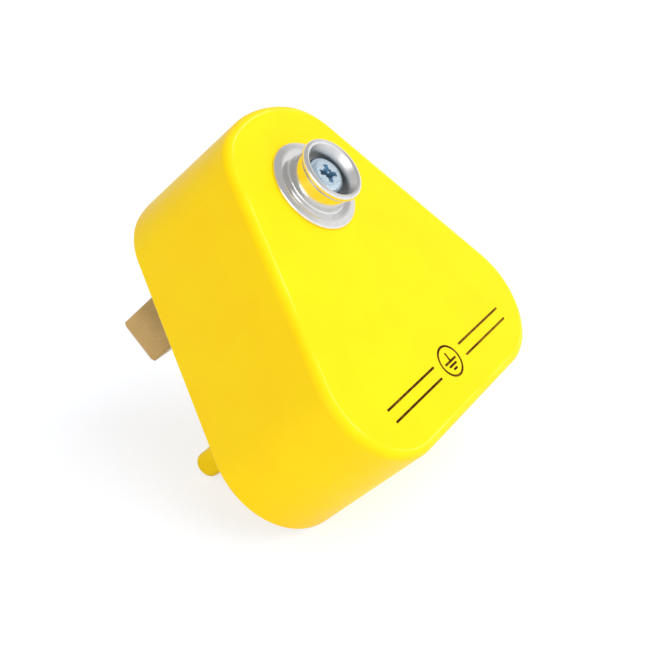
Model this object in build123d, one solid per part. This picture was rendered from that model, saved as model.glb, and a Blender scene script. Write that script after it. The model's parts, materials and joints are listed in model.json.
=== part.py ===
from build123d import *
import math
import os

# An earth bonding plug: a three-pin plug body whose only metal pin is the earth pin. A press stud
# on its face takes the snap of a wrist-strap or mat cord, through a resistor inside.
# Millimetres. The design frame has X across, Y towards the earth pin, Z out of the front face,
# and its origin on the back face, midway between the line and neutral pins.

# Body outline at the front face
BODY_DEPTH = 23.6
BODY_BOTTOM = -15.6
BODY_TOP = 36.0
HALF_WIDTH = 24.4  # at the line and neutral pins
SIDE_LEAN = 21.8  # degrees that each side leans in towards the top
SHOULDER_Y = 32.4  # where the sides would meet the crowned top
TOP_CORNER_R = 9.8
BOTTOM_CORNER_R = 11.3
DRAFT = 1.87  # degrees, widest at the back
FRONT_EDGE_R = 1.3
BACK_EDGE_R = 0.5

# Moulding walls
WALL = 2.3
FRONT_WALL = 2.6
CAVITY_CORNER_R = 1.0
RIM_WALL = 1.35  # where the base is let into the back of the cover
BASE_THICKNESS = 3.0
BASE_GAP = 0.15
SEAM_CHAMFER = 0.35
RIB = 1.2
GUSSET_HIGH = 6.0
HOLD_RIB_OUT = 4.15  # from the earth pin's axis to the ribs over its block
HOLD_RIB_LONG, HOLD_RIB_SHORT = 4.8, 2.2
ROOTED = 1.0  # how far an inner feature runs into the wall that carries it
PAST = 1.0  # how far a cut runs past what it cuts

# Pins of the 13 A pattern
PIN_ROW = 22.23  # earth pin to the line and neutral pins
PIN_SIDE = 11.115  # line and neutral pins from the middle
EARTH_WIDE, EARTH_THICK, EARTH_LONG = 8.0, 4.0, 22.9
DUMMY_WIDE, DUMMY_THICK, DUMMY_LONG = 6.35, 4.0, 16.0
EARTH_TIP_LONG, EARTH_TIP_IN = 0.7, 0.4  # chamfer at the tip
EARTH_EDGE_R = 0.35
DUMMY_EDGE_R = 0.8
SLIP = 0.06  # clearance of a sliding fit, each side

# Earth pin's terminal block, inside the housing
BLOCK_WIDE, BLOCK_TALL, BLOCK_HIGH, BLOCK_CHAMFER = 6.4, 9.0, 8.0, 0.5
CONDUCTOR_HOLE_R = 1.6
CONDUCTOR_HOLE_UP = 3.5  # above the base plate
CLAMP_SCREW_R, CLAMP_POINT_R = 1.75, 1.1
CLAMP_POINT_UP = 0.8  # above the conductor hole's axis, where the shank narrows to the point
CLAMP_HEAD_R, CLAMP_HEAD_HIGH, CLAMP_HEAD_CHAMFER = 2.7, 1.7, 0.3
CLAMP_SLOT_WIDE, CLAMP_SLOT_DEEP = 0.8, 0.9
SOCKET_WALL, SOCKET_HIGH = 1.5, 5.0
LEAD_GAP = 4.0  # break in the socket's wall for the lead

# Cover screw, driven from the pin side
COVER_SCREW_Y = 9.0
COVER_SCREW_LONG = 12.0
COVER_HEAD_R, COVER_HEAD_HIGH, COVER_HEAD_CHAMFER = 3.0, 2.0, 0.4
COVER_HEAD_SUNK, COVER_HEAD_ROOM = 2.4, 0.35
BASE_BOSS_R, BASE_BOSS_HIGH = 4.0, 3.0
BASE_RIB, BASE_RIB_LONG, BASE_RIB_TOP = 1.5, 17.0, 7.0
WASHER_R, WASHER_THICK, WASHER_PLAY = 2.8, 0.7, 0.2
COVER_POST_R = 4.4
POST_HOLE_PAST_INSERT = 2.0
INSERT_R, INSERT_LONG = 2.5, 7.0
INSERT_GROOVE_FROM, INSERT_GROOVE_LONG, INSERT_GROOVE_DEEP = 2.8, 1.4, 0.4

# Metric 3 screws, their clearances and cross recesses
SCREW_R = 1.48
THREAD_R = 1.5
CLEAR_HOLE_R = 1.7
HARDWARE_HOLE_R = 1.6
SCREW_END_CHAMFER = 0.35
LAP = 0.1  # how far a shank runs into its own head
RECESS_TAPER = 9.0  # degrees
RECESS_CORE = 0.45  # the recess's square middle, as a part of its span
RECESS_STAR, RECESS_STAR_WING, RECESS_STAR_DEEP = 0.62, 0.3, 0.4  # of span, wing and depth
COVER_RECESS = (3.4, 0.85, 1.4)  # span, wing and depth
STUD_RECESS = (3.0, 0.78, 1.5)
STUD_RECESS_TURN = -28.0  # degrees, as it was tightened

# Press stud: one cup of sheet metal, drawn, folded over its bead and pierced
SHEET = 0.3
STUD_FLANGE_R = 7.15
STUD_RIM_HIGH = 0.38  # the flange's edge, turned down onto the cover
STUD_CREST_IN, STUD_CREST_HIGH = 1.15, 0.5  # the flange's ridge, inside its edge
STUD_FOOT_HIGH = 0.15  # the valley round the neck
STUD_NECK_FOOT_R, STUD_NECK_TOP_R = 4.75, 4.52  # the neck draws in towards the bead
STUD_BEAD_R = 5.0
STUD_BEAD_DEEP, STUD_BEAD_FLARE = 0.77, 0.5  # the bead below the top, and the flare up to it
STUD_ROLL_R = 0.3  # of the rolled rim, at the middle of the sheet
STUD_MOUTH_LEAN = 25.0  # degrees that the funnelled mouth leans in
STUD_THROAT_R = 3.62  # the narrow end of the mouth
STUD_WELL_R = 3.5
STUD_FLOOR_UP = 0.75  # the well's floor above the cover's face
STUD_HIGH = 4.72
STUD_FLOOR_HOLE_R = 1.6
STUD_FOLD_RADII = (0.28, 1.1, 0.42, 0.3, 0.28, STUD_ROLL_R, 1.4, 0.34)

# Stud screw and what it clamps inside
STUD_SCREW_LONG = 10.0
PAN_HEAD_R, PAN_HEAD_HIGH, PAN_HEAD_EDGE_R = 2.95, 2.35, 0.95
STUD_PAD_R, STUD_PAD_HIGH = 4.5, 1.0
FLAT_WASHER_R, FLAT_WASHER_THICK = 3.5, 0.5
LOCK_WASHER_R, LOCK_WASHER_THICK = 3.0, 0.5
LOCK_TEETH, LOCK_NOTCH_LONG, LOCK_NOTCH_WIDE = 8, 1.4, 0.8
NUT_ACROSS, NUT_HIGH = 5.5, 2.4
NUT_BEVEL = 2.0  # run and rise of the cone that bevels the nut's corners

# Ring terminal and resistor, in line with each other under the front wall
TERMINAL_TURN = -60.0  # degrees from X, the way the barrel points
RING_R = 3.1
TONGUE, TONGUE_WIDE, TONGUE_LAP = 0.8, 2.4, 0.3
BARREL_R, BARREL_FROM, BARREL_TO = 1.3, 4.8, 9.6
BARREL_END = 0.6  # solid end of the crimped barrel
BARREL_DROP = 0.9  # barrel axis below the ring's upper face
INSULATOR_R, INSULATOR_FROM, INSULATOR_TO = 1.7, 5.25, 11.0
LEAD_R = 0.35
LEAD_SLIP = 0.02
RESISTOR_R, RESISTOR_WAIST_R, RESISTOR_FROM, RESISTOR_LONG = 1.6, 1.35, 13.5, 9.0
CAP_LONG, CAP_CHAMFER = 2.2, 0.24
LEAD_SUNK = 1.0  # into each end of the resistor
LEAD_END_GAP = 0.05
SLEEVE_R, SLEEVE_GAP = 0.65, 0.3
LEAD_FIRST_BEND = 3.2  # beyond the resistor's far end
LEAD_TURN = (14.2, 2.0, 10.5)  # where it turns from running down to running in
LEAD_ENTRY_Y = 16.3  # where it lines up with the hole in the earth pin's block
LEAD_BEND_RADII = (1.8, 3.0, 1.2)
LEAD_THROUGH = 3.0  # past the earth pin's axis

OUT = "parts"


def body_outline(grow=0.0):
    """The rounded outline of the front face, grown evenly by so much."""
    slope = math.tan(math.radians(SIDE_LEAN))
    foot = HALF_WIDTH - slope * BODY_BOTTOM
    shoulder = HALF_WIDTH - slope * SHOULDER_Y
    edges = Curve() + [
        Line((-foot, BODY_BOTTOM), (foot, BODY_BOTTOM)),
        Line((foot, BODY_BOTTOM), (shoulder, SHOULDER_Y)),
        ThreePointArc((shoulder, SHOULDER_Y), (0, BODY_TOP), (-shoulder, SHOULDER_Y)),
        Line((-shoulder, SHOULDER_Y), (-foot, BODY_BOTTOM)),
    ]
    face = Sketch() + make_face(edges)
    face = fillet(face.vertices().sort_by(Axis.Y)[-2:], TOP_CORNER_R)
    face = fillet(face.vertices().sort_by(Axis.Y)[:2], BOTTOM_CORNER_R)
    return offset(face, amount=grow) if grow else face


def drafted(inset, depth, start=0.0):
    """A drafted block that lies so far inside the body, from start above the back face."""
    back_growth = (BODY_DEPTH - start) * math.tan(math.radians(DRAFT))
    section = Pos(0, 0, start) * body_outline(back_growth - inset)
    return extrude(section, amount=depth, taper=DRAFT)


def upright(radius, low, high, x=0.0, y=0.0):
    """A round bar along Z between two heights."""
    return Pos(x, y, low) * extrude(Circle(radius), amount=high - low)


def brick(wide, tall, low, high, x=0.0, y=0.0):
    """A square bar along Z between two heights."""
    return Pos(x, y, low) * extrude(Rectangle(wide, tall), amount=high - low)


def cross_recess(span, wing, depth):
    """The cutter for a cross-headed drive, its mouth at Z 0 and narrowing as it goes down."""
    core = Rectangle(RECESS_CORE * span, RECESS_CORE * span)
    mouth = Rectangle(span, wing) + Rectangle(wing, span) + core
    return extrude(mouth, amount=-depth, taper=RECESS_TAPER)


def star_recess(span, wing, depth):
    """A cross recess with four lesser slots between its wings, as on the better screws."""
    star_span, star_wing = RECESS_STAR * span, RECESS_STAR_WING * wing
    star = Rot(0, 0, 45) * (Rectangle(star_span, star_wing) + Rectangle(star_wing, star_span))
    return cross_recess(span, wing, depth) + extrude(star, amount=-RECESS_STAR_DEEP * depth)


def cover():
    """The one-piece front moulding, hollow from the back."""
    shell = drafted(0.0, BODY_DEPTH)
    shell = fillet(shell.edges().group_by(Axis.Z)[-1], FRONT_EDGE_R)
    shell = fillet(shell.edges().group_by(Axis.Z)[0], BACK_EDGE_R)
    inside_top = BODY_DEPTH - FRONT_WALL
    cavity = drafted(WALL, inside_top)
    cavity = fillet(cavity.edges().group_by(Axis.Z)[-1], CAVITY_CORNER_R)
    shell -= cavity
    shell -= drafted(RIM_WALL, BASE_THICKNESS)

    # a pad backs the wall behind the stud, and a post takes the cover screw's insert
    wall_root = inside_top + ROOTED
    shell += upright(STUD_PAD_R, inside_top - STUD_PAD_HIGH, wall_root, y=PIN_ROW)
    post_end = BASE_THICKNESS + BASE_BOSS_HIGH + WASHER_THICK + WASHER_PLAY
    insert_top = post_end + INSERT_LONG
    shell += upright(COVER_POST_R, post_end, wall_root, y=COVER_SCREW_Y)
    shell -= upright(INSERT_R, post_end, insert_top, y=COVER_SCREW_Y)
    shell -= upright(THREAD_R, post_end, insert_top + POST_HOLE_PAST_INSERT, y=COVER_SCREW_Y)

    # gussets brace the post to the lower and left walls, clear of the resistor
    gusset_low = inside_top - GUSSET_HIGH
    near = COVER_POST_R - ROOTED
    down = COVER_SCREW_Y - BODY_BOTTOM - ROOTED
    shell += brick(RIB, down - near, gusset_low, wall_root, 0, COVER_SCREW_Y - (down + near) / 2)
    left = HALF_WIDTH - COVER_SCREW_Y * math.tan(math.radians(SIDE_LEAN)) - ROOTED
    shell += brick(left - near, RIB, gusset_low, wall_root, -(left + near) / 2, COVER_SCREW_Y)

    # two ribs hold the earth pin's block down on the base
    rib_from = BASE_THICKNESS + BLOCK_HIGH + BASE_GAP
    short_x = -(BLOCK_WIDE - HOLD_RIB_SHORT) / 2
    shell += brick(HOLD_RIB_LONG, RIB, rib_from, wall_root, 0, PIN_ROW + HOLD_RIB_OUT)
    shell += brick(HOLD_RIB_SHORT, RIB, rib_from, wall_root, short_x, PIN_ROW - HOLD_RIB_OUT)

    shell -= upright(CLEAR_HOLE_R, 0, BODY_DEPTH + PAST, y=PIN_ROW)
    return shell


def dummy_pin(x):
    """A plastic line or neutral pin, its end fully rounded towards the socket's shutters."""
    half = DUMMY_THICK / 2
    side = Plane.YZ * (
        Pos(0, -(DUMMY_LONG - half) / 2) * Rectangle(DUMMY_THICK, DUMMY_LONG - half)
        + Pos(0, -(DUMMY_LONG - half)) * Circle(half)
    )
    pin = extrude(side, amount=DUMMY_WIDE / 2, both=True)
    pin = fillet(pin.edges().filter_by(Axis.Z), DUMMY_EDGE_R)
    return Pos(x, 0, 0) * pin


def base():
    """The back moulding: a plate let into the cover, with the two dummy pins cast on it."""
    plate = drafted(RIM_WALL + BASE_GAP, BASE_THICKNESS)
    plate = chamfer(plate.edges().group_by(Axis.Z)[0], SEAM_CHAMFER)
    for x in (-PIN_SIDE, PIN_SIDE):
        plate += dummy_pin(x)
        plate += brick(BASE_RIB, BASE_RIB_LONG, BASE_THICKNESS - ROOTED, BASE_RIB_TOP, x)
    across = 2 * PIN_SIDE + DUMMY_WIDE
    plate += brick(across, BASE_RIB, BASE_THICKNESS - ROOTED, BASE_RIB_TOP)

    # walls that locate the earth pin's block, open where the resistor's lead comes in
    low, high = BASE_THICKNESS - ROOTED, BASE_THICKNESS + SOCKET_HIGH
    wide, tall = BLOCK_WIDE + 2 * SLIP, BLOCK_TALL + 2 * SLIP
    socket = brick(wide + 2 * SOCKET_WALL, tall + 2 * SOCKET_WALL, low, high)
    socket -= brick(wide, tall, BASE_THICKNESS, high)
    gap_y = -(tall + SOCKET_WALL) / 2
    socket -= brick(LEAD_GAP, 2 * SOCKET_WALL, BASE_THICKNESS, high, 0, gap_y)
    plate += Pos(0, PIN_ROW, 0) * socket
    plate -= brick(EARTH_THICK + 2 * SLIP, EARTH_WIDE + 2 * SLIP, -PAST, high, 0, PIN_ROW)

    # boss and counterbore for the cover screw
    boss_top = BASE_THICKNESS + BASE_BOSS_HIGH
    plate += upright(BASE_BOSS_R, BASE_THICKNESS - ROOTED, boss_top, y=COVER_SCREW_Y)
    plate -= upright(CLEAR_HOLE_R, -PAST, boss_top, y=COVER_SCREW_Y)
    plate -= upright(COVER_HEAD_R + COVER_HEAD_ROOM, -PAST, COVER_HEAD_SUNK, y=COVER_SCREW_Y)
    return plate


def earth_pin():
    """The brass pin, with the terminal block that clamps the resistor's lead."""
    section = RectangleRounded(EARTH_THICK, EARTH_WIDE, EARTH_EDGE_R)
    thin, narrow = EARTH_THICK - 2 * EARTH_TIP_IN, EARTH_WIDE - 2 * EARTH_TIP_IN
    end = RectangleRounded(thin, narrow, EARTH_EDGE_R)
    tip_from = EARTH_TIP_LONG - EARTH_LONG
    shank = Pos(0, 0, tip_from) * extrude(section, amount=BASE_THICKNESS - tip_from)
    shank += loft([Pos(0, 0, -EARTH_LONG) * end, Pos(0, 0, tip_from) * section], ruled=True)
    block_top = BASE_THICKNESS + BLOCK_HIGH
    block = brick(BLOCK_WIDE, BLOCK_TALL, BASE_THICKNESS, block_top)
    block = chamfer(block.edges().filter_by(Axis.Z), BLOCK_CHAMFER)
    pin = shank + block
    hole_z = BASE_THICKNESS + CONDUCTOR_HOLE_UP
    pin -= Pos(0, 0, hole_z) * Rot(90, 0, 0) * Cylinder(CONDUCTOR_HOLE_R, 2 * BLOCK_TALL)
    pin -= upright(CLAMP_SCREW_R, hole_z, block_top + PAST)
    return Pos(0, PIN_ROW, 0) * pin


def earth_clamp_screw():
    """The screw in the top of the terminal block, down on the lead."""
    top = BASE_THICKNESS + BLOCK_HIGH
    head_top = top + CLAMP_HEAD_HIGH
    hole_z = BASE_THICKNESS + CONDUCTOR_HOLE_UP
    lead_top = hole_z - CONDUCTOR_HOLE_R + 2 * (LEAD_R + LEAD_SLIP)
    head = upright(CLAMP_HEAD_R, top, head_top)
    head = chamfer(head.edges().group_by(Axis.Z)[-1], CLAMP_HEAD_CHAMFER)
    slot_floor = head_top - CLAMP_SLOT_DEEP
    head -= brick(2 * CLAMP_HEAD_R + PAST, CLAMP_SLOT_WIDE, slot_floor, head_top)
    shank_from = hole_z + CLAMP_POINT_UP
    shank = upright(CLAMP_SCREW_R - LEAD_SLIP, shank_from, top + LAP)
    point = upright(CLAMP_POINT_R, lead_top, shank_from + LAP)
    return Pos(0, PIN_ROW, 0) * (head + shank + point)


def stud_floor():
    """Height of the well's floor inside the stud, above the cover's face."""
    return STUD_FLOOR_UP + SHEET


def press_stud():
    """The drawn stud: a band of sheet that follows the folds, turned about the axis."""
    half = SHEET / 2
    rim, bead, throat = STUD_FLANGE_R - half, STUD_BEAD_R - half, STUD_THROAT_R + half
    bead_from = STUD_HIGH - STUD_BEAD_DEEP
    # the bead's wall and the mouth would meet at a peak above the rim that is rolled between them
    lean = math.radians(STUD_MOUTH_LEAN)
    peak = STUD_HIGH - half - STUD_ROLL_R + STUD_ROLL_R / math.tan(lean / 2)
    throat_high = peak - (bead - throat) / math.tan(lean)
    fold = FilletPolyline(
        (rim, 0),
        (rim, STUD_RIM_HIGH),
        (STUD_FLANGE_R - STUD_CREST_IN, half + STUD_CREST_HIGH),
        (STUD_NECK_FOOT_R - half, half + STUD_FOOT_HIGH),
        (STUD_NECK_TOP_R - half, bead_from - STUD_BEAD_FLARE),
        (bead, bead_from),
        (bead, peak),
        (throat, throat_high),
        (STUD_WELL_R + half, STUD_FLOOR_UP + half),
        (STUD_FLOOR_HOLE_R, STUD_FLOOR_UP + half),
        radius=list(STUD_FOLD_RADII),
    )
    band = trace(fold, line_width=SHEET)
    turned = revolve(Plane.XZ * band, axis=Axis.Z)
    return Pos(0, PIN_ROW, BODY_DEPTH) * turned


def stud_screw():
    """The pan-headed cross-drive screw in the stud's well."""
    bearing = stud_floor()
    head_top = bearing + PAN_HEAD_HIGH
    head = upright(PAN_HEAD_R, bearing, head_top)
    head = fillet(head.edges().group_by(Axis.Z)[-1], PAN_HEAD_EDGE_R)
    head -= Pos(0, 0, head_top) * Rot(0, 0, STUD_RECESS_TURN) * star_recess(*STUD_RECESS)
    screw = head + upright(SCREW_R, bearing - STUD_SCREW_LONG, bearing + LAP)
    screw = chamfer(screw.edges().group_by(Axis.Z)[0], SCREW_END_CHAMFER)
    return Pos(0, PIN_ROW, BODY_DEPTH) * screw


def pad_face():
    """Height of the pad's face inside the cover."""
    return BODY_DEPTH - FRONT_WALL - STUD_PAD_HIGH


def flat_washer():
    """The plain washer that spreads the nut's load on the pad."""
    ring = upright(FLAT_WASHER_R, pad_face() - FLAT_WASHER_THICK, pad_face())
    return Pos(0, PIN_ROW, 0) * (ring - upright(HARDWARE_HOLE_R, 0, BODY_DEPTH))


def terminal_face():
    """Height of the upper face of the ring terminal."""
    return pad_face() - FLAT_WASHER_THICK


def along_terminal():
    """Where things lie along the terminal's barrel: X is the distance from the stud's axis."""
    return Pos(0, PIN_ROW, terminal_face() - BARREL_DROP) * Rot(0, 0, TERMINAL_TURN)


def lengthwise(radius, start, end):
    """A round bar along X between two distances."""
    return Pos(start, 0, 0) * Rot(0, 90, 0) * extrude(Circle(radius), amount=end - start)


def ring_terminal():
    """The crimp terminal under the stud's nut: ring, tongue and barrel from one piece of strip."""
    tongue = Rectangle(BARREL_FROM + 2 * TONGUE_LAP, TONGUE_WIDE)
    strip = Circle(RING_R) + Pos(BARREL_FROM / 2, 0) * tongue
    strip -= Circle(HARDWARE_HOLE_R)
    flat = Pos(0, 0, BARREL_DROP - TONGUE) * extrude(strip, amount=TONGUE)
    barrel = lengthwise(BARREL_R, BARREL_FROM, BARREL_TO)
    barrel -= lengthwise(LEAD_R + LEAD_SLIP, BARREL_FROM + BARREL_END, BARREL_TO)
    return along_terminal() * (flat + barrel)


def terminal_insulator():
    """The vinyl sleeve on the terminal's barrel."""
    tube = lengthwise(INSULATOR_R, INSULATOR_FROM, INSULATOR_TO)
    tube -= lengthwise(BARREL_R + LEAD_SLIP, INSULATOR_FROM, INSULATOR_TO)
    return along_terminal() * tube


def lock_washer():
    """A shakeproof washer, notched round its edge."""
    top = terminal_face() - TONGUE
    ring = upright(LOCK_WASHER_R, top - LOCK_WASHER_THICK, top)
    ring -= upright(HARDWARE_HOLE_R, 0, BODY_DEPTH)
    notch = Box(LOCK_NOTCH_LONG, LOCK_NOTCH_WIDE, 2 * LOCK_WASHER_THICK + PAST)
    for tooth in PolarLocations(LOCK_WASHER_R, LOCK_TEETH):
        ring -= Pos(0, 0, top) * tooth * notch
    return Pos(0, PIN_ROW, 0) * ring


def stud_nut():
    """The hexagon nut that holds the stud on."""
    top = terminal_face() - TONGUE - LOCK_WASHER_THICK
    low = top - NUT_HIGH
    flats = RegularPolygon(NUT_ACROSS / 2, 6, major_radius=False)
    nut = Pos(0, 0, low) * extrude(flats, amount=NUT_HIGH)
    bevel = Pos(0, 0, low) * Cone(
        NUT_ACROSS / 2,
        NUT_ACROSS / 2 + NUT_BEVEL,
        NUT_BEVEL,
        align=(Align.CENTER, Align.CENTER, Align.MIN),
    )
    bevel += upright(NUT_ACROSS, low + NUT_BEVEL, top)
    nut = (nut & bevel) - upright(THREAD_R, 0, BODY_DEPTH)
    return Pos(0, PIN_ROW, 0) * nut


def resistor_body():
    """The lacquered resistor, waisted between its end caps."""
    far = RESISTOR_FROM + RESISTOR_LONG
    shape = lengthwise(RESISTOR_WAIST_R, RESISTOR_FROM, far)
    for start in (RESISTOR_FROM, far - CAP_LONG):
        cap = lengthwise(RESISTOR_R, start, start + CAP_LONG)
        shape += chamfer(cap.edges().filter_by(GeomType.CIRCLE), CAP_CHAMFER)
    bore = LEAD_R + LEAD_SLIP
    shape -= lengthwise(bore, RESISTOR_FROM - PAST, RESISTOR_FROM + LEAD_SUNK)
    shape -= lengthwise(bore, far - LEAD_SUNK, far + PAST)
    return along_terminal() * shape


def resistor_lead_stud():
    """The straight lead from the resistor into the ring terminal."""
    start = BARREL_FROM + BARREL_END + LEAD_END_GAP
    end = RESISTOR_FROM + LEAD_SUNK - LEAD_END_GAP
    return along_terminal() * lengthwise(LEAD_R, start, end)


def earth_lead_route(start, end):
    """The lead's way from the resistor's far end, round the cover's post, to the earth pin."""
    far = RESISTOR_FROM + RESISTOR_LONG
    begin = (along_terminal() * Pos(far + start, 0, 0)).position
    bend = (along_terminal() * Pos(far + LEAD_FIRST_BEND, 0, 0)).position
    hole_floor = BASE_THICKNESS + CONDUCTOR_HOLE_UP - CONDUCTOR_HOLE_R
    lead_z = hole_floor + LEAD_R + LEAD_SLIP
    points = [begin, bend, Vector(LEAD_TURN), Vector(0, LEAD_ENTRY_Y, lead_z), Vector(0, end, lead_z)]
    return FilletPolyline(*points, radius=list(LEAD_BEND_RADII))


def swept(route, radius):
    """A round wire along a route."""
    section = Plane(origin=route @ 0, z_dir=route % 0) * Circle(radius)
    return sweep(section, path=route)


def resistor_lead_earth():
    """The bent lead from the resistor into the earth pin's terminal block."""
    return swept(earth_lead_route(LEAD_END_GAP - LEAD_SUNK, PIN_ROW + LEAD_THROUGH), LEAD_R)


def lead_sleeve():
    """The insulating sleeve pushed over the bent lead."""
    route = earth_lead_route(SLEEVE_GAP, PIN_ROW - BLOCK_TALL / 2 - SLEEVE_GAP)
    return swept(route, SLEEVE_R) - swept(route, LEAD_R + LEAD_SLIP)


def cover_screw():
    """The screw that closes the housing, its head sunk in the base between the pins."""
    face = COVER_HEAD_SUNK - COVER_HEAD_HIGH
    head = upright(COVER_HEAD_R, face, COVER_HEAD_SUNK)
    head = chamfer(head.edges().group_by(Axis.Z)[0], COVER_HEAD_CHAMFER)
    head -= Pos(0, 0, face) * Rot(180, 0, 0) * cross_recess(*COVER_RECESS)
    shank = upright(SCREW_R, COVER_HEAD_SUNK - LAP, COVER_HEAD_SUNK + COVER_SCREW_LONG)
    shank = chamfer(shank.edges().group_by(Axis.Z)[-1], SCREW_END_CHAMFER)
    return Pos(0, COVER_SCREW_Y, 0) * (head + shank)


def captive_washer():
    """The fibre washer that keeps the screw in the base when the cover is off."""
    low = BASE_THICKNESS + BASE_BOSS_HIGH
    ring = upright(WASHER_R, low, low + WASHER_THICK)
    ring -= upright(SCREW_R + LEAD_SLIP, low, low + WASHER_THICK)
    return Pos(0, COVER_SCREW_Y, 0) * ring


def threaded_insert():
    """The brass insert in the cover's post, grooved to grip the plastic."""
    low = BASE_THICKNESS + BASE_BOSS_HIGH + WASHER_THICK + WASHER_PLAY
    top = low + INSERT_LONG
    insert = upright(INSERT_R, low, top)
    groove_low = low + INSERT_GROOVE_FROM
    groove = upright(INSERT_R + PAST, groove_low, groove_low + INSERT_GROOVE_LONG)
    insert -= groove - upright(INSERT_R - INSERT_GROOVE_DEEP, low, top)
    insert -= upright(THREAD_R, low, top)
    return Pos(0, COVER_SCREW_Y, 0) * insert


def rest_lean():
    """Degrees that the plug leans back when it sits on its dummy pins and its lower back edge."""
    back_growth = BODY_DEPTH * math.tan(math.radians(DRAFT))
    edge_y, edge_z = BODY_BOTTOM - back_growth + BACK_EDGE_R, BACK_EDGE_R
    tip_r = DUMMY_THICK / 2
    tip_z = tip_r - DUMMY_LONG
    across, down = -edge_y, edge_z - tip_z
    tilt = math.asin((tip_r - BACK_EDGE_R) / math.hypot(across, down))
    return math.degrees(math.atan2(down, across) + tilt)


def build():
    """Every piece in the design frame, by name."""
    return {
        "cover": cover(),
        "base": base(),
        "earth_pin": earth_pin(),
        "earth_clamp_screw": earth_clamp_screw(),
        "press_stud": press_stud(),
        "stud_screw": stud_screw(),
        "flat_washer": flat_washer(),
        "ring_terminal": ring_terminal(),
        "terminal_insulator": terminal_insulator(),
        "lock_washer": lock_washer(),
        "stud_nut": stud_nut(),
        "resistor_body": resistor_body(),
        "resistor_lead_stud": resistor_lead_stud(),
        "resistor_lead_earth": resistor_lead_earth(),
        "lead_sleeve": lead_sleeve(),
        "cover_screw": cover_screw(),
        "captive_washer": captive_washer(),
        "threaded_insert": threaded_insert(),
    }


def placement(pieces):
    """The move from the design frame to the plug at rest: on Z 0, centred over the origin."""
    leaning = Rot(rest_lean(), 0, 0)
    whole = Compound(children=[leaning * piece for piece in pieces.values()]).bounding_box()
    middle = whole.center()
    return Pos(-middle.X, -middle.Y, -whole.min.Z) * leaning


def main():
    pieces = build()
    at_rest = placement(pieces)
    os.makedirs(OUT, exist_ok=True)
    for name, piece in pieces.items():
        export_step(at_rest * piece, os.path.join(OUT, name + ".step"))
    return pieces, at_rest


if __name__ == "__main__":
    main()
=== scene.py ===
import json
import math

import bmesh
import bpy
from mathutils import Matrix, Vector


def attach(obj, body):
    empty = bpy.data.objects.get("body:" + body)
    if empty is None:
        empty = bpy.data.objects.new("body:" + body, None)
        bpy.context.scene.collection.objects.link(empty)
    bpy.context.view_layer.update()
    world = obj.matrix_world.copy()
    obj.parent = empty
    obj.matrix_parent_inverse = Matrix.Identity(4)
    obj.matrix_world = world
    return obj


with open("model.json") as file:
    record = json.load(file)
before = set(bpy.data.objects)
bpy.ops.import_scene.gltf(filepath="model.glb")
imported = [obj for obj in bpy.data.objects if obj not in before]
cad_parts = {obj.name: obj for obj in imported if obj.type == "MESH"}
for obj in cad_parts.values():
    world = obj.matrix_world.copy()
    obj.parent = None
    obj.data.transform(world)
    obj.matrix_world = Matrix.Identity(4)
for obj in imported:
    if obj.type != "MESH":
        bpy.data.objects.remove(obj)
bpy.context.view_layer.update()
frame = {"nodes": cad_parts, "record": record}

# The plug's own frame, in millimetres: X across its front, Y up its front to the earth pin, Z out of
# its front, from a point on its back midway between the line and neutral pins. The mounts give it.
MM = 0.001
mounts = {mount["name"]: mount for mount in frame["record"]["mounts"]}
line_foot = Vector(mounts["line_pin"]["pos_m"])
neutral_foot = Vector(mounts["neutral_pin"]["pos_m"])
across = (line_foot - neutral_foot).normalized()
outward = -Vector(mounts["earth_pin"]["axis"]).normalized()
upward = outward.cross(across)
turn = Matrix((across, upward, outward)).transposed().to_4x4()
plug = Matrix.Translation((line_foot + neutral_foot) / 2) @ turn @ Matrix.Scale(MM, 4)
unplug = plug.inverted()


def reach(node):
    """Lowest and highest corner of a CAD node in the plug's frame, in millimetres."""
    spots = [unplug @ vertex.co for vertex in frame["nodes"][node].data.vertices]
    low = Vector([min(spot[i] for spot in spots) for i in range(3)])
    high = Vector([max(spot[i] for spot in spots) for i in range(3)])
    return low, high


FRONT = reach("cover")[1].z
EARTH_Y = (unplug @ Vector(mounts["earth_pin"]["pos_m"])).y
BEAD_Z = (unplug @ Vector(mounts["bonding_stud"]["pos_m"])).z

# Camera, from a fit of the photograph's outline: a place, a point aimed at and a way up, all in the
# plug's frame.
CAMERA_PLACE = (-138.94, 5.90, 126.75)
CAMERA_AIM = (-1.15, 5.90, 10.64)
CAMERA_UP = (0.394, 0.791, 0.468)
CAMERA_LENS = 68.17
CAMERA_SENSOR = 36.0

# Lamps, in the row's frame, in metres and watts, each aimed at the middle of the plug
LAMP_AIM = (0, 0, 0.03)
KEY_PLACE, KEY_SIZE, KEY_POWER = (0.20, -0.82, 0.78), 1.5, 14.6
FILL_PLACE, FILL_SIZE, FILL_POWER = (-0.85, -0.08, 0.2), 0.8, 2.8

# Paper underfoot, in metres each way from the plug
PAPER_REACH = 2

# Printed mark on the front: an earth symbol in a ring, between two pairs of rules
INK_STROKE = 0.36
INK_HIGH = 0.02
INK_SUNK = 0.01
MARK_Y = -8.85
MARK_X = 0.3
MARK_RING_R = 2.5
RULE_APART = 1.9
RULE_GAP = 1.6
RULE_LONG = 13.2
STEM_UP = 1.35  # above the middle of the ring
FIRST_BAR_DOWN, BAR_STEP = 0.05, 0.62
BAR_REACHES = (1.45, 0.9, 0.35)  # half of each bar, from the stem down
QUARTER_STEPS = 12  # in a quarter of the ring
END_STEPS = 8  # in a rule's round end

# The front's round edge has dropped this far below the front in the middle of its painted highlight line
RIM_LINE_DROP = 0.02


def linear(code):
    """An sRGB hex colour as linear red, green, blue and full alpha."""
    parts = [int(code[i:i + 2], 16) / 255 for i in (1, 3, 5)]
    return tuple(p / 12.92 if p <= 0.04045 else ((p + 0.055) / 1.055) ** 2.4 for p in parts) + (1.0,)


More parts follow.
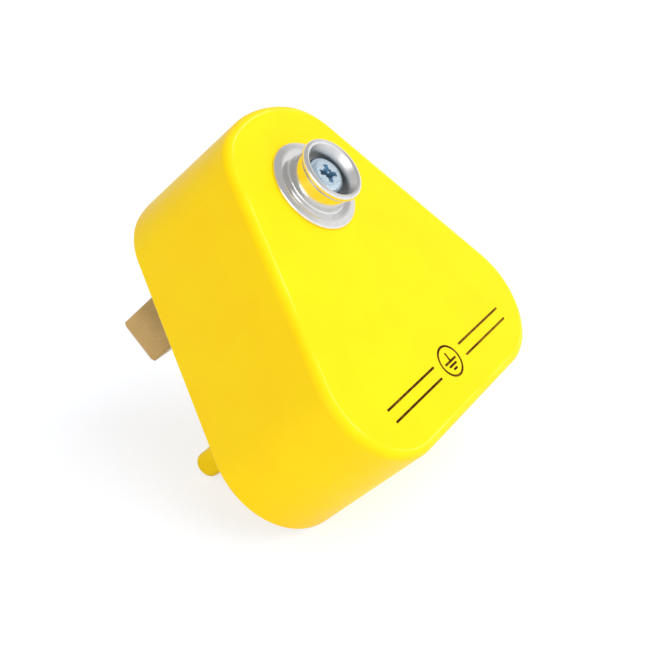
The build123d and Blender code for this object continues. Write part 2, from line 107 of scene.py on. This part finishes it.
def add(material, kind, sockets=None, **settings):
    """Adds a node with its settings. A socket takes a value, an output or a node's first output in use."""
    made = material.node_tree.nodes.new(kind)
    for name, value in settings.items():
        setattr(made, name, value)
    for name, value in (sockets or {}).items():
        if isinstance(value, bpy.types.Node):
            value = next(output for output in value.outputs if output.enabled)
        if isinstance(value, bpy.types.NodeSocket):
            material.node_tree.links.new(value, made.inputs[name])
        else:
            made.inputs[name].default_value = value
    return made


def new_material(name):
    """An empty node material, and the place in the plug's frame, in millimetres, for its patterns."""
    material = bpy.data.materials.new(name)
    material.use_nodes = True
    material.node_tree.nodes.clear()
    place = add(material, "ShaderNodeTexCoord").outputs["Object"]
    where = add(material, "ShaderNodeMapping", {
        "Vector": place,
        "Location": unplug.translation,
        "Rotation": unplug.to_euler(),
        "Scale": unplug.to_scale(),
    })
    return material, where


def moulded_abs():
    """Signal-yellow ABS, moulded in a lightly sparked tool: satin and even, with soft flow marks."""
    material, where = new_material("moulded_abs_yellow")
    flow = add(material, "ShaderNodeTexNoise", {"Vector": where, "Scale": 1 / 8, "Detail": 1.5})
    swirl = add(material, "ShaderNodeMapRange", {"Value": flow, "From Min": 0.35, "From Max": 0.65})
    pigment = add(material, "ShaderNodeMix", {
        "Factor": swirl, "A": linear("#FFD500"), "B": linear("#FFD900"),
    }, data_type="RGBA")
    # painted highlight: the front's rim is painted paler, in places, in a line 0.2 mm wide where its round
    # edge sets in, standing in for the glint of that edge
    height = add(material, "ShaderNodeSeparateXYZ", {"Vector": where}).outputs["Z"]
    near_rim = add(material, "ShaderNodeMath", {0: height, 1: FRONT - RIM_LINE_DROP}, operation="SUBTRACT")
    off_rim = add(material, "ShaderNodeMath", {0: near_rim}, operation="ABSOLUTE")
    rim = add(material, "ShaderNodeMapRange", {
        "Value": off_rim, "From Min": RIM_LINE_DROP * 0.4, "From Max": RIM_LINE_DROP * 0.9,
        "To Min": 0.45, "To Max": 0.0,
    })
    # the painted highlight shows only in patches, where the flow swirl is high
    painted_highlight = add(material, "ShaderNodeMath", {0: rim, 1: swirl}, operation="MULTIPLY")
    colour = add(material, "ShaderNodeMix", {
        "Factor": painted_highlight, "A": pigment, "B": linear("#FFEF8A"),
    }, data_type="RGBA")
    # handling polishes the skin in patches of about 3 mm
    patches = add(material, "ShaderNodeTexNoise", {"Vector": where, "Scale": 1 / 3, "Detail": 3.0})
    rough = add(material, "ShaderNodeMapRange", {
        "Value": patches, "From Min": 0.3, "From Max": 0.7, "To Min": 0.38, "To Max": 0.46,
    })
    # the spark finish is about 0.05 mm, drawn at 0.35 mm so that it shows
    spark = add(material, "ShaderNodeTexNoise", {"Vector": where, "Scale": 1 / 0.35, "Detail": 2.0})
    pitted = add(material, "ShaderNodeBump", {"Height": spark, "Distance": 0.008 * MM, "Strength": 1.0})
    # the wall is not quite flat over its ribs, by some hundredths in 10 mm
    sink = add(material, "ShaderNodeTexNoise", {"Vector": where, "Scale": 1 / 10, "Detail": 0.0})
    skin = add(material, "ShaderNodeBump", {
        "Height": sink, "Distance": 0.05 * MM, "Strength": 1.0, "Normal": pitted,
    })
    shader = add(material, "ShaderNodeBsdfPrincipled", {
        "Base Color": colour, "Roughness": rough, "IOR": 1.54, "Specular IOR Level": 0.14, "Normal": skin,
    })
    add(material, "ShaderNodeOutputMaterial", {"Surface": shader})
    return material


def nickel_plate():
    """Bright nickel on drawn sheet: mirror-like, with faint rings from the die and light wear."""
    material, where = new_material("drawn_sheet_bright_nickel")
    from_axis = add(material, "ShaderNodeVectorMath", {0: where, 1: (0, EARTH_Y, 0)}, operation="SUBTRACT")
    flat = add(material, "ShaderNodeVectorMath", {0: from_axis, 1: (1, 1, 0)}, operation="MULTIPLY")
    radius = add(material, "ShaderNodeVectorMath", {0: flat}, operation="LENGTH")
    height = add(material, "ShaderNodeSeparateXYZ", {"Vector": where}).outputs["Z"]
    ring = add(material, "ShaderNodeCombineXYZ", {"X": radius, "Z": height})
    # die marks 0.15 mm apart
    marks = add(material, "ShaderNodeTexNoise", {"Vector": ring, "Scale": 1 / 0.15, "Detail": 1.0})
    # the plate's cast shifts a little over 1.2 mm
    cast = add(material, "ShaderNodeTexNoise", {"Vector": where, "Scale": 1 / 1.2, "Detail": 2.0})
    tone = add(material, "ShaderNodeMix", {
        "Factor": cast, "A": linear("#E8E7E5"), "B": linear("#D9D8D6"),
    }, data_type="RGBA")
    # the bead is rubbed duller where sockets snap on, 0.6 mm each side of its widest line
    off_bead = add(material, "ShaderNodeMath", {0: height, 1: BEAD_Z}, operation="SUBTRACT")
    span = add(material, "ShaderNodeMath", {0: off_bead}, operation="ABSOLUTE")
    wear_and_shade = add(material, "ShaderNodeMapRange", {
        "Value": span, "From Min": 0.3, "From Max": 0.6, "To Min": 0.05, "To Max": 0.0,
    })
    fine = add(material, "ShaderNodeMapRange", {
        "Value": marks, "From Min": 0.3, "From Max": 0.7, "To Min": 0.10, "To Max": 0.18,
    })
    # no mop reaches into the well and its mouth, so the plate stays duller there
    unmopped = add(material, "ShaderNodeMapRange", {
        "Value": radius, "From Min": 3.9, "From Max": 4.5, "To Min": 0.22, "To Max": 0.0,
    })
    outside = add(material, "ShaderNodeMath", {0: fine, 1: wear_and_shade}, operation="ADD")
    rough = add(material, "ShaderNodeMath", {0: outside, 1: unmopped}, operation="ADD")
    drawn = add(material, "ShaderNodeBump", {"Height": marks, "Distance": 0.0005 * MM, "Strength": 1.0})
    shader = add(material, "ShaderNodeBsdfPrincipled", {
        "Base Color": tone, "Metallic": 1.0, "Roughness": rough, "Normal": drawn,
    })
    add(material, "ShaderNodeOutputMaterial", {"Surface": shader})
    return material


def zinc_plate(name, bright, dull, roughness, thread=(0, 0)):
    """Zinc on turned or pressed steel: soft sheen, crystal mottle, and a thread between two heights."""
    material, where = new_material(name)
    # crystals 0.3 mm across
    crystals = add(material, "ShaderNodeTexNoise", {"Vector": where, "Scale": 1 / 0.3, "Detail": 3.0})
    tone = add(material, "ShaderNodeMapRange", {"Value": crystals, "From Min": 0.35, "From Max": 0.65})
    colour = add(material, "ShaderNodeMix", {
        "Factor": tone, "A": linear(bright), "B": linear(dull),
    }, data_type="RGBA")
    rough = add(material, "ShaderNodeMapRange", {
        "Value": crystals, "From Min": 0.3, "From Max": 0.7, "To Min": roughness, "To Max": roughness + 0.12,
    })
    grainy = add(material, "ShaderNodeBump", {"Height": crystals, "Distance": 0.004 * MM, "Strength": 1.0})
    # a metric 3 thread climbs 0.5 mm a turn, drawn as rings; a wave's period is 0.314 over its scale
    pitch = 0.5
    ridges = add(material, "ShaderNodeTexWave", {
        "Vector": where, "Scale": math.pi / 10 / pitch, "Distortion": 0.0,
    }, wave_type="BANDS", bands_direction="Z")
    height = add(material, "ShaderNodeSeparateXYZ", {"Vector": where}).outputs["Z"]
    above = add(material, "ShaderNodeMath", {0: height, 1: thread[0]}, operation="GREATER_THAN")
    below = add(material, "ShaderNodeMath", {0: height, 1: thread[1]}, operation="LESS_THAN")
    within = add(material, "ShaderNodeMath", {0: above, 1: below}, operation="MULTIPLY")
    cut = add(material, "ShaderNodeMath", {0: ridges.outputs["Fac"], 1: within}, operation="MULTIPLY")
    skin = add(material, "ShaderNodeBump", {
        "Height": cut, "Distance": 0.25 * MM, "Strength": 1.0, "Normal": grainy,
    })
    shader = add(material, "ShaderNodeBsdfPrincipled", {
        "Base Color": colour, "Metallic": 1.0, "Roughness": rough, "Normal": skin,
    })
    add(material, "ShaderNodeOutputMaterial", {"Surface": shader})
    return material


def drawn_brass():
    """Drawn brass bar, left dull: fine lines along its length, speckled with a brown tarnish, and darkened
    towards the housing by painted shade.
    """
    material, where = new_material("drawn_brass_dull")
    # draw lines 0.12 mm apart that run the length of the pin
    lengthened = add(material, "ShaderNodeVectorMath", {0: where, 1: (1, 1, 0.03)}, operation="MULTIPLY")
    lines = add(material, "ShaderNodeTexNoise", {"Vector": lengthened, "Scale": 1 / 0.12, "Detail": 2.0})
    # tarnish in 5 mm clouds, and specks of 0.25 mm
    clouds = add(material, "ShaderNodeTexNoise", {"Vector": where, "Scale": 1 / 5, "Detail": 1.0})
    specks = add(material, "ShaderNodeTexNoise", {"Vector": where, "Scale": 1 / 0.25, "Detail": 2.0})
    both = add(material, "ShaderNodeMath", {0: clouds, 1: specks}, operation="ADD")
    # painted shade: the pin is cleanest at its tip and darkens over the 16 mm above it, towards the housing
    # that shades it
    height = add(material, "ShaderNodeSeparateXYZ", {"Vector": where}).outputs["Z"]
    tip = reach("earth_pin")[0].z
    wear_and_shade = add(material, "ShaderNodeMapRange", {
        "Value": height, "From Min": tip, "From Max": tip + 16, "To Min": -0.35, "To Max": 0.6,
    })
    # the tarnish's clouds and specks, plus the painted shade towards the housing
    tarnish_and_shade = add(material, "ShaderNodeMath", {0: both, 1: wear_and_shade}, operation="ADD")
    stain_and_shade = add(material, "ShaderNodeMapRange", {"Value": tarnish_and_shade, "From Min": 0.6, "From Max": 1.6})
    colour = add(material, "ShaderNodeMix", {
        "Factor": stain_and_shade, "A": linear("#C2A068"), "B": linear("#937A4B"),
    }, data_type="RGBA")
    rough = add(material, "ShaderNodeMapRange", {
        "Value": lines, "From Min": 0.3, "From Max": 0.7, "To Min": 0.36, "To Max": 0.5,
    })
    skin = add(material, "ShaderNodeBump", {"Height": lines, "Distance": 0.003 * MM, "Strength": 1.0})
    shader = add(material, "ShaderNodeBsdfPrincipled", {
        "Base Color": colour, "Metallic": 1.0, "Roughness": rough, "Normal": skin,
    })
    add(material, "ShaderNodeOutputMaterial", {"Surface": shader})
    return material


def turned_brass():
    """Brass turned on a lathe: bright, with tool rings round its axis."""
    material, where = new_material("turned_brass_bright")
    height = add(material, "ShaderNodeSeparateXYZ", {"Vector": where}).outputs["Z"]
    along = add(material, "ShaderNodeCombineXYZ", {"Z": height})
    # tool rings 0.15 mm apart
    rings = add(material, "ShaderNodeTexNoise", {"Vector": along, "Scale": 1 / 0.15, "Detail": 1.0})
    colour = add(material, "ShaderNodeMix", {
        "Factor": rings, "A": linear("#E3C078"), "B": linear("#D0A95E"),
    }, data_type="RGBA")
    skin = add(material, "ShaderNodeBump", {"Height": rings, "Distance": 0.004 * MM, "Strength": 1.0})
    shader = add(material, "ShaderNodeBsdfPrincipled", {
        "Base Color": colour, "Metallic": 1.0, "Roughness": 0.24, "Normal": skin,
    })
    add(material, "ShaderNodeOutputMaterial", {"Surface": shader})
    return material


def tinned_copper(name, roughness):
    """Hot-tinned copper: soft silver with a slightly wavy skin."""
    material, where = new_material(name)
    # the tin runs in 0.8 mm ripples
    ripple = add(material, "ShaderNodeTexNoise", {"Vector": where, "Scale": 1 / 0.8, "Detail": 2.0})
    colour = add(material, "ShaderNodeMix", {
        "Factor": ripple, "A": linear("#DCDAD4"), "B": linear("#C2BFB6"),
    }, data_type="RGBA")
    rough = add(material, "ShaderNodeMapRange", {
        "Value": ripple, "From Min": 0.3, "From Max": 0.7, "To Min": roughness, "To Max": roughness + 0.1,
    })
    skin = add(material, "ShaderNodeBump", {"Height": ripple, "Distance": 0.01 * MM, "Strength": 1.0})
    shader = add(material, "ShaderNodeBsdfPrincipled", {
        "Base Color": colour, "Metallic": 1.0, "Roughness": rough, "Normal": skin,
    })
    add(material, "ShaderNodeOutputMaterial", {"Surface": shader})
    return material


def extruded_vinyl(name, ground, stripe, stripe_from):
    """Soft vinyl sleeving: waxy, slightly uneven, with a stripe along its upper side."""
    material, where = new_material(name)
    # the die leaves the skin uneven over 0.6 mm
    uneven = add(material, "ShaderNodeTexNoise", {"Vector": where, "Scale": 1 / 0.6, "Detail": 2.0})
    facing = add(material, "ShaderNodeNewGeometry").outputs["Normal"]
    up = add(material, "ShaderNodeVectorMath", {0: facing, 1: tuple(outward)}, operation="DOT_PRODUCT")
    upper = add(material, "ShaderNodeMapRange", {
        "Value": up, "From Min": stripe_from, "From Max": stripe_from + 0.06,
    })
    colour = add(material, "ShaderNodeMix", {
        "Factor": upper, "A": linear(ground), "B": linear(stripe),
    }, data_type="RGBA")
    rough = add(material, "ShaderNodeMapRange", {
        "Value": uneven, "From Min": 0.3, "From Max": 0.7, "To Min": 0.42, "To Max": 0.55,
    })
    waxy = add(material, "ShaderNodeBump", {"Height": uneven, "Distance": 0.01 * MM, "Strength": 1.0})
    shader = add(material, "ShaderNodeBsdfPrincipled", {
        "Base Color": colour, "Roughness": rough, "IOR": 1.53, "Normal": waxy,
    })
    add(material, "ShaderNodeOutputMaterial", {"Surface": shader})
    return material


def pressed_fibre():
    """Vulcanised fibre, punched from red sheet: dull, with short fibres showing."""
    material, where = new_material("pressed_fibre_red")
    # fibres about 0.1 mm thick and 1 mm long
    drawn = add(material, "ShaderNodeVectorMath", {0: where, 1: (1, 10, 10)}, operation="MULTIPLY")
    fibres = add(material, "ShaderNodeTexNoise", {"Vector": drawn, "Scale": 1.0, "Detail": 3.0})
    colour = add(material, "ShaderNodeMix", {
        "Factor": fibres, "A": linear("#9A4030"), "B": linear("#6A281C"),
    }, data_type="RGBA")
    skin = add(material, "ShaderNodeBump", {"Height": fibres, "Distance": 0.02 * MM, "Strength": 1.0})
    shader = add(material, "ShaderNodeBsdfPrincipled", {
        "Base Color": colour, "Roughness": 0.75, "IOR": 1.5, "Normal": skin,
    })
    add(material, "ShaderNodeOutputMaterial", {"Surface": shader})
    return material


def banded_lacquer():
    """Dipped lacquer on the resistor, with its value in brown, black, green and gold bands."""
    material, where = new_material("dipped_lacquer_banded")
    low, high = reach("resistor_body")
    middle = (low + high) / 2
    along = Vector((middle.x, middle.y - EARTH_Y, 0)).normalized()
    from_middle = add(material, "ShaderNodeVectorMath", {0: where, 1: middle}, operation="SUBTRACT")
    distance = add(material, "ShaderNodeVectorMath", {0: from_middle, 1: along}, operation="DOT_PRODUCT")
    # bands 0.9 mm wide start so far from the middle of a 9 mm body
    band, body_long = 0.9, 9.0
    place = add(material, "ShaderNodeMapRange", {
        "Value": distance, "From Min": -body_long / 2, "From Max": body_long / 2,
    })
    bands = add(material, "ShaderNodeValToRGB", {"Fac": place})
    bands.color_ramp.interpolation = "CONSTANT"
    bands.color_ramp.elements.remove(bands.color_ramp.elements[1])
    body = linear("#8DB9CC")
    bands.color_ramp.elements[0].color = body
    for start, code in ((-3.7, "#5A3216"), (-1.9, "#121212"), (-0.3, "#2F7A3A"), (2.6, "#B08A3C")):
        for spot, colour in ((start, linear(code)), (start + band, body)):
            bands.color_ramp.elements.new(spot / body_long + 0.5).color = colour
    # the dip leaves the lacquer uneven over 0.7 mm
    dip = add(material, "ShaderNodeTexNoise", {"Vector": where, "Scale": 1 / 0.7, "Detail": 2.0})
    skin = add(material, "ShaderNodeBump", {"Height": dip, "Distance": 0.02 * MM, "Strength": 1.0})
    shader = add(material, "ShaderNodeBsdfPrincipled", {
        "Base Color": bands.outputs["Color"], "Roughness": 0.28, "IOR": 1.5, "Normal": skin,
    })
    add(material, "ShaderNodeOutputMaterial", {"Surface": shader})
    return material


def printed_ink():
    """Pad-printing ink, cured matt: brown-black, thinner and browner in patches."""
    material, where = new_material("pad_printed_ink_black")
    # the pad lays the ink down unevenly over 1.5 mm
    uneven = add(material, "ShaderNodeTexNoise", {"Vector": where, "Scale": 1 / 1.5, "Detail": 4.0})
    # and it turns thinner and browner towards the right end
    side = add(material, "ShaderNodeSeparateXYZ", {"Vector": where}).outputs["X"]
    rightward = add(material, "ShaderNodeMapRange", {
        "Value": side, "From Min": -2.0, "From Max": 20.0, "To Min": -0.08, "To Max": 0.27,
    })
    spread = add(material, "ShaderNodeMath", {0: uneven, 1: rightward}, operation="ADD")
    thin = add(material, "ShaderNodeMapRange", {"Value": spread, "From Min": 0.4, "From Max": 0.75})
    colour = add(material, "ShaderNodeMix", {
        "Factor": thin, "A": linear("#342400"), "B": linear("#7A5A0A"),
    }, data_type="RGBA")
    skin = add(material, "ShaderNodeBump", {"Height": uneven, "Distance": 0.005 * MM, "Strength": 1.0})
    shader = add(material, "ShaderNodeBsdfPrincipled", {
        "Base Color": colour, "Roughness": 0.6, "IOR": 1.5, "Specular IOR Level": 0.08, "Normal": skin,
    })
    add(material, "ShaderNodeOutputMaterial", {"Surface": shader})
    return material


def studio_paper():
    """White studio paper. The camera sees it near white, with some of the object's shadow kept."""
    material, where = new_material("studio_paper_white")
    path = add(material, "ShaderNodeLightPath").outputs
    direct = add(material, "ShaderNodeMath", {
        0: path["Is Camera Ray"], 1: path["Is Glossy Ray"],
    }, operation="ADD")
    seen = add(material, "ShaderNodeMath", {
        0: direct, 1: path["Is Transmission Ray"],
    }, operation="ADD", use_clamp=True)
    # pulp clouds of about 20 mm, hardly there
    pulp = add(material, "ShaderNodeTexNoise", {"Vector": where, "Scale": 1 / 20, "Detail": 2.0})
    tone = add(material, "ShaderNodeMix", {
        "Factor": pulp, "A": linear("#F3F3F3"), "B": linear("#EFEFEF"),
    }, data_type="RGBA")
    paper = add(material, "ShaderNodeBsdfDiffuse", {"Color": tone})
    shade = add(material, "ShaderNodeBsdfDiffuse", {"Color": (0.36, 0.38, 0.43, 1)})
    # far off, the sheet fades into the white wall, so that no edge shows
    away = add(material, "ShaderNodeVectorMath", {0: where}, operation="LENGTH")
    fade = add(material, "ShaderNodeMapRange", {
        "Value": away, "From Min": 350, "From Max": 1000, "To Min": 0.70, "To Max": 1.0,
    })
    glow = add(material, "ShaderNodeEmission", {"Color": (1, 1, 1, 1), "Strength": fade})
    lit = add(material, "ShaderNodeAddShader", {0: shade, 1: glow})
    mixed = add(material, "ShaderNodeMixShader", {0: seen, 1: paper, 2: lit})
    add(material, "ShaderNodeOutputMaterial", {"Surface": mixed})
    return material


def assign(node, material):
    """Gives a whole CAD node one material."""
    mesh = frame["nodes"][node].data
    mesh.materials.clear()
    mesh.materials.append(material)


def rule(form, x_from, x_to, y):
    """A printed line along X with round ends."""
    half = INK_STROKE / 2
    ends = [math.pi * (step / END_STEPS - 0.5) for step in range(END_STEPS + 1)]
    right = [(x_to + half * math.cos(a), y + half * math.sin(a)) for a in ends]
    left = [(x_from - half * math.cos(a), y - half * math.sin(a)) for a in ends]
    raise_print(form, right + left)


def raise_print(form, outline):
    """Stands a printed outline, counterclockwise from the front, up as a thin closed slab."""
    low = [form.verts.new((x, y, FRONT - INK_SUNK)) for x, y in outline]
    high = [form.verts.new((x, y, FRONT + INK_HIGH)) for x, y in outline]
    form.faces.new(high)
    form.faces.new(low[::-1])
    for i in range(len(outline)):
        j = (i + 1) % len(outline)
        form.faces.new((low[i], low[j], high[j], high[i]))


def printed_mark():
    """The front's printed mark: an earth symbol in a ring, between two pairs of rules."""
    form = bmesh.new()
    stem_top, first_bar = MARK_Y + STEM_UP, MARK_Y - FIRST_BAR_DOWN
    # ring, as four quarter bands that share their ends
    for quarter in range(4):
        steps = [math.pi / 2 * (quarter + i / QUARTER_STEPS) for i in range(QUARTER_STEPS + 1)]
        rim = [(MARK_X + MARK_RING_R * math.cos(a), MARK_Y + MARK_RING_R * math.sin(a)) for a in steps]
        inner_r = MARK_RING_R - INK_STROKE
        inner = [(MARK_X + inner_r * math.cos(a), MARK_Y + inner_r * math.sin(a)) for a in steps]
        raise_print(form, rim + inner[::-1])
    half = INK_STROKE / 2
    left, right = MARK_X - half, MARK_X + half
    raise_print(form, [(left, first_bar), (right, first_bar), (right, stem_top), (left, stem_top)])
    for step, reach_out in enumerate(BAR_REACHES):
        rule(form, MARK_X - reach_out, MARK_X + reach_out, first_bar - BAR_STEP * step)
    for side in (-1, 1):
        for line in (-1, 1):
            near = MARK_X + side * (MARK_RING_R + RULE_GAP)
            ends = sorted((near, near + side * RULE_LONG))
            rule(form, ends[0], ends[1], MARK_Y + line * RULE_APART / 2)
    form.transform(plug)
    mesh = bpy.data.meshes.new("printed_mark")
    form.to_mesh(mesh)
    form.free()
    mesh.materials.append(printed_ink())
    piece = bpy.data.objects.new("printed_mark", mesh)
    bpy.context.scene.collection.objects.link(piece)
    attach(piece, "root")


def floor():
    """A plain sheet of paper under everything."""
    sheet = bpy.data.meshes.new("floor")
    corners = [(x * PAPER_REACH, y * PAPER_REACH, 0) for x, y in ((-1, -1), (1, -1), (1, 1), (-1, 1))]
    sheet.from_pydata(corners, [], [(0, 1, 2, 3)])
    sheet.materials.append(studio_paper())
    laid = bpy.data.objects.new("floor", sheet)
    bpy.context.scene.collection.objects.link(laid)


def lamp(name, place, size, power, mirrored):
    """A soft square lamp aimed at the plug. Bright metal mirrors some lamps and looks past others."""
    light = bpy.data.lights.new(name, "AREA")
    light.size = size
    light.energy = power
    made = bpy.data.objects.new(name, light)
    made.visible_glossy = mirrored
    made.location = place
    made.rotation_euler = (Vector(LAMP_AIM) - Vector(place)).to_track_quat("-Z", "Y").to_euler()
    bpy.context.scene.collection.objects.link(made)


def studio():
    """White walls that fade to grey overhead. Seen, they are in full; as light, they are at half."""
    made = bpy.data.worlds.new("studio")
    bpy.context.scene.world = made
    made.use_nodes = True
    made.node_tree.nodes.clear()
    path = add(made, "ShaderNodeLightPath").outputs
    direct = add(made, "ShaderNodeMath", {
        0: path["Is Camera Ray"], 1: path["Is Glossy Ray"],
    }, operation="ADD")
    seen = add(made, "ShaderNodeMath", {
        0: direct, 1: path["Is Transmission Ray"],
    }, operation="ADD", use_clamp=True)
    way = add(made, "ShaderNodeTexCoord").outputs["Generated"]
    rise = add(made, "ShaderNodeSeparateXYZ", {"Vector": way}).outputs["Z"]
    wall = add(made, "ShaderNodeMapRange", {
        "Value": rise, "From Min": 0.3, "From Max": 0.75, "To Min": 1.0, "To Max": 0.57,
    }, interpolation_type="SMOOTHSTEP")
    light = add(made, "ShaderNodeBackground", {"Color": (1, 1, 1, 1), "Strength": 0.52})
    white = add(made, "ShaderNodeBackground", {"Color": (1, 1, 1, 1), "Strength": wall})
    mixed = add(made, "ShaderNodeMixShader", {0: seen, 1: light, 2: white})
    add(made, "ShaderNodeOutputWorld", {"Surface": mixed})


def camera():
    """The photograph's camera."""
    place, aim = Vector(CAMERA_PLACE), Vector(CAMERA_AIM)
    back = (place - aim).normalized()
    right = Vector(CAMERA_UP).cross(back).normalized()
    facing = Matrix((right, back.cross(right), back)).transposed()
    lens = bpy.data.cameras.new("camera")
    lens.lens = CAMERA_LENS
    lens.sensor_width = CAMERA_SENSOR
    lens.clip_start = 0.01
    made = bpy.data.objects.new("camera", lens)
    bpy.context.scene.collection.objects.link(made)
    made.location = plug @ place
    made.rotation_euler = (plug.to_3x3().normalized() @ facing).to_euler()
    bpy.context.scene.camera = made


yellow = moulded_abs()
assign("cover", yellow)
assign("base", yellow)
assign("earth_pin", drawn_brass())
assign("press_stud", nickel_plate())
stud_thread = (reach("stud_screw")[0].z, FRONT)
assign("stud_screw", zinc_plate("blue_zinc_turned_steel", "#E9F5FD", "#B5D2E6", 0.2, stud_thread))
cover_thread = (reach("captive_washer")[0].z, reach("cover_screw")[1].z)
assign("cover_screw", zinc_plate("clear_zinc_turned_steel", "#D5D8DA", "#B4B9BC", 0.26, cover_thread))
pressed_steel = zinc_plate("clear_zinc_pressed_steel", "#D5D8DA", "#B9BDC0", 0.3)
for node in ("flat_washer", "lock_washer", "stud_nut", "earth_clamp_screw"):
    assign(node, pressed_steel)
assign("threaded_insert", turned_brass())
assign("ring_terminal", tinned_copper("tinned_copper_strip", 0.25))
tinned_wire = tinned_copper("tinned_copper_wire", 0.3)
assign("resistor_lead_stud", tinned_wire)
assign("resistor_lead_earth", tinned_wire)
assign("terminal_insulator", extruded_vinyl("extruded_vinyl_red", "#C8281E", "#B82219", 0.2))
assign("lead_sleeve", extruded_vinyl("extruded_vinyl_green_yellow", "#3F8F34", "#E8CF2A", 0.35))
assign("captive_washer", pressed_fibre())
assign("resistor_body", banded_lacquer())
printed_mark()

floor()
studio()
lamp("key", KEY_PLACE, KEY_SIZE, KEY_POWER, mirrored=False)
lamp("fill", FILL_PLACE, FILL_SIZE, FILL_POWER, mirrored=True)
camera()
bpy.context.scene.view_settings.view_transform = "Standard"
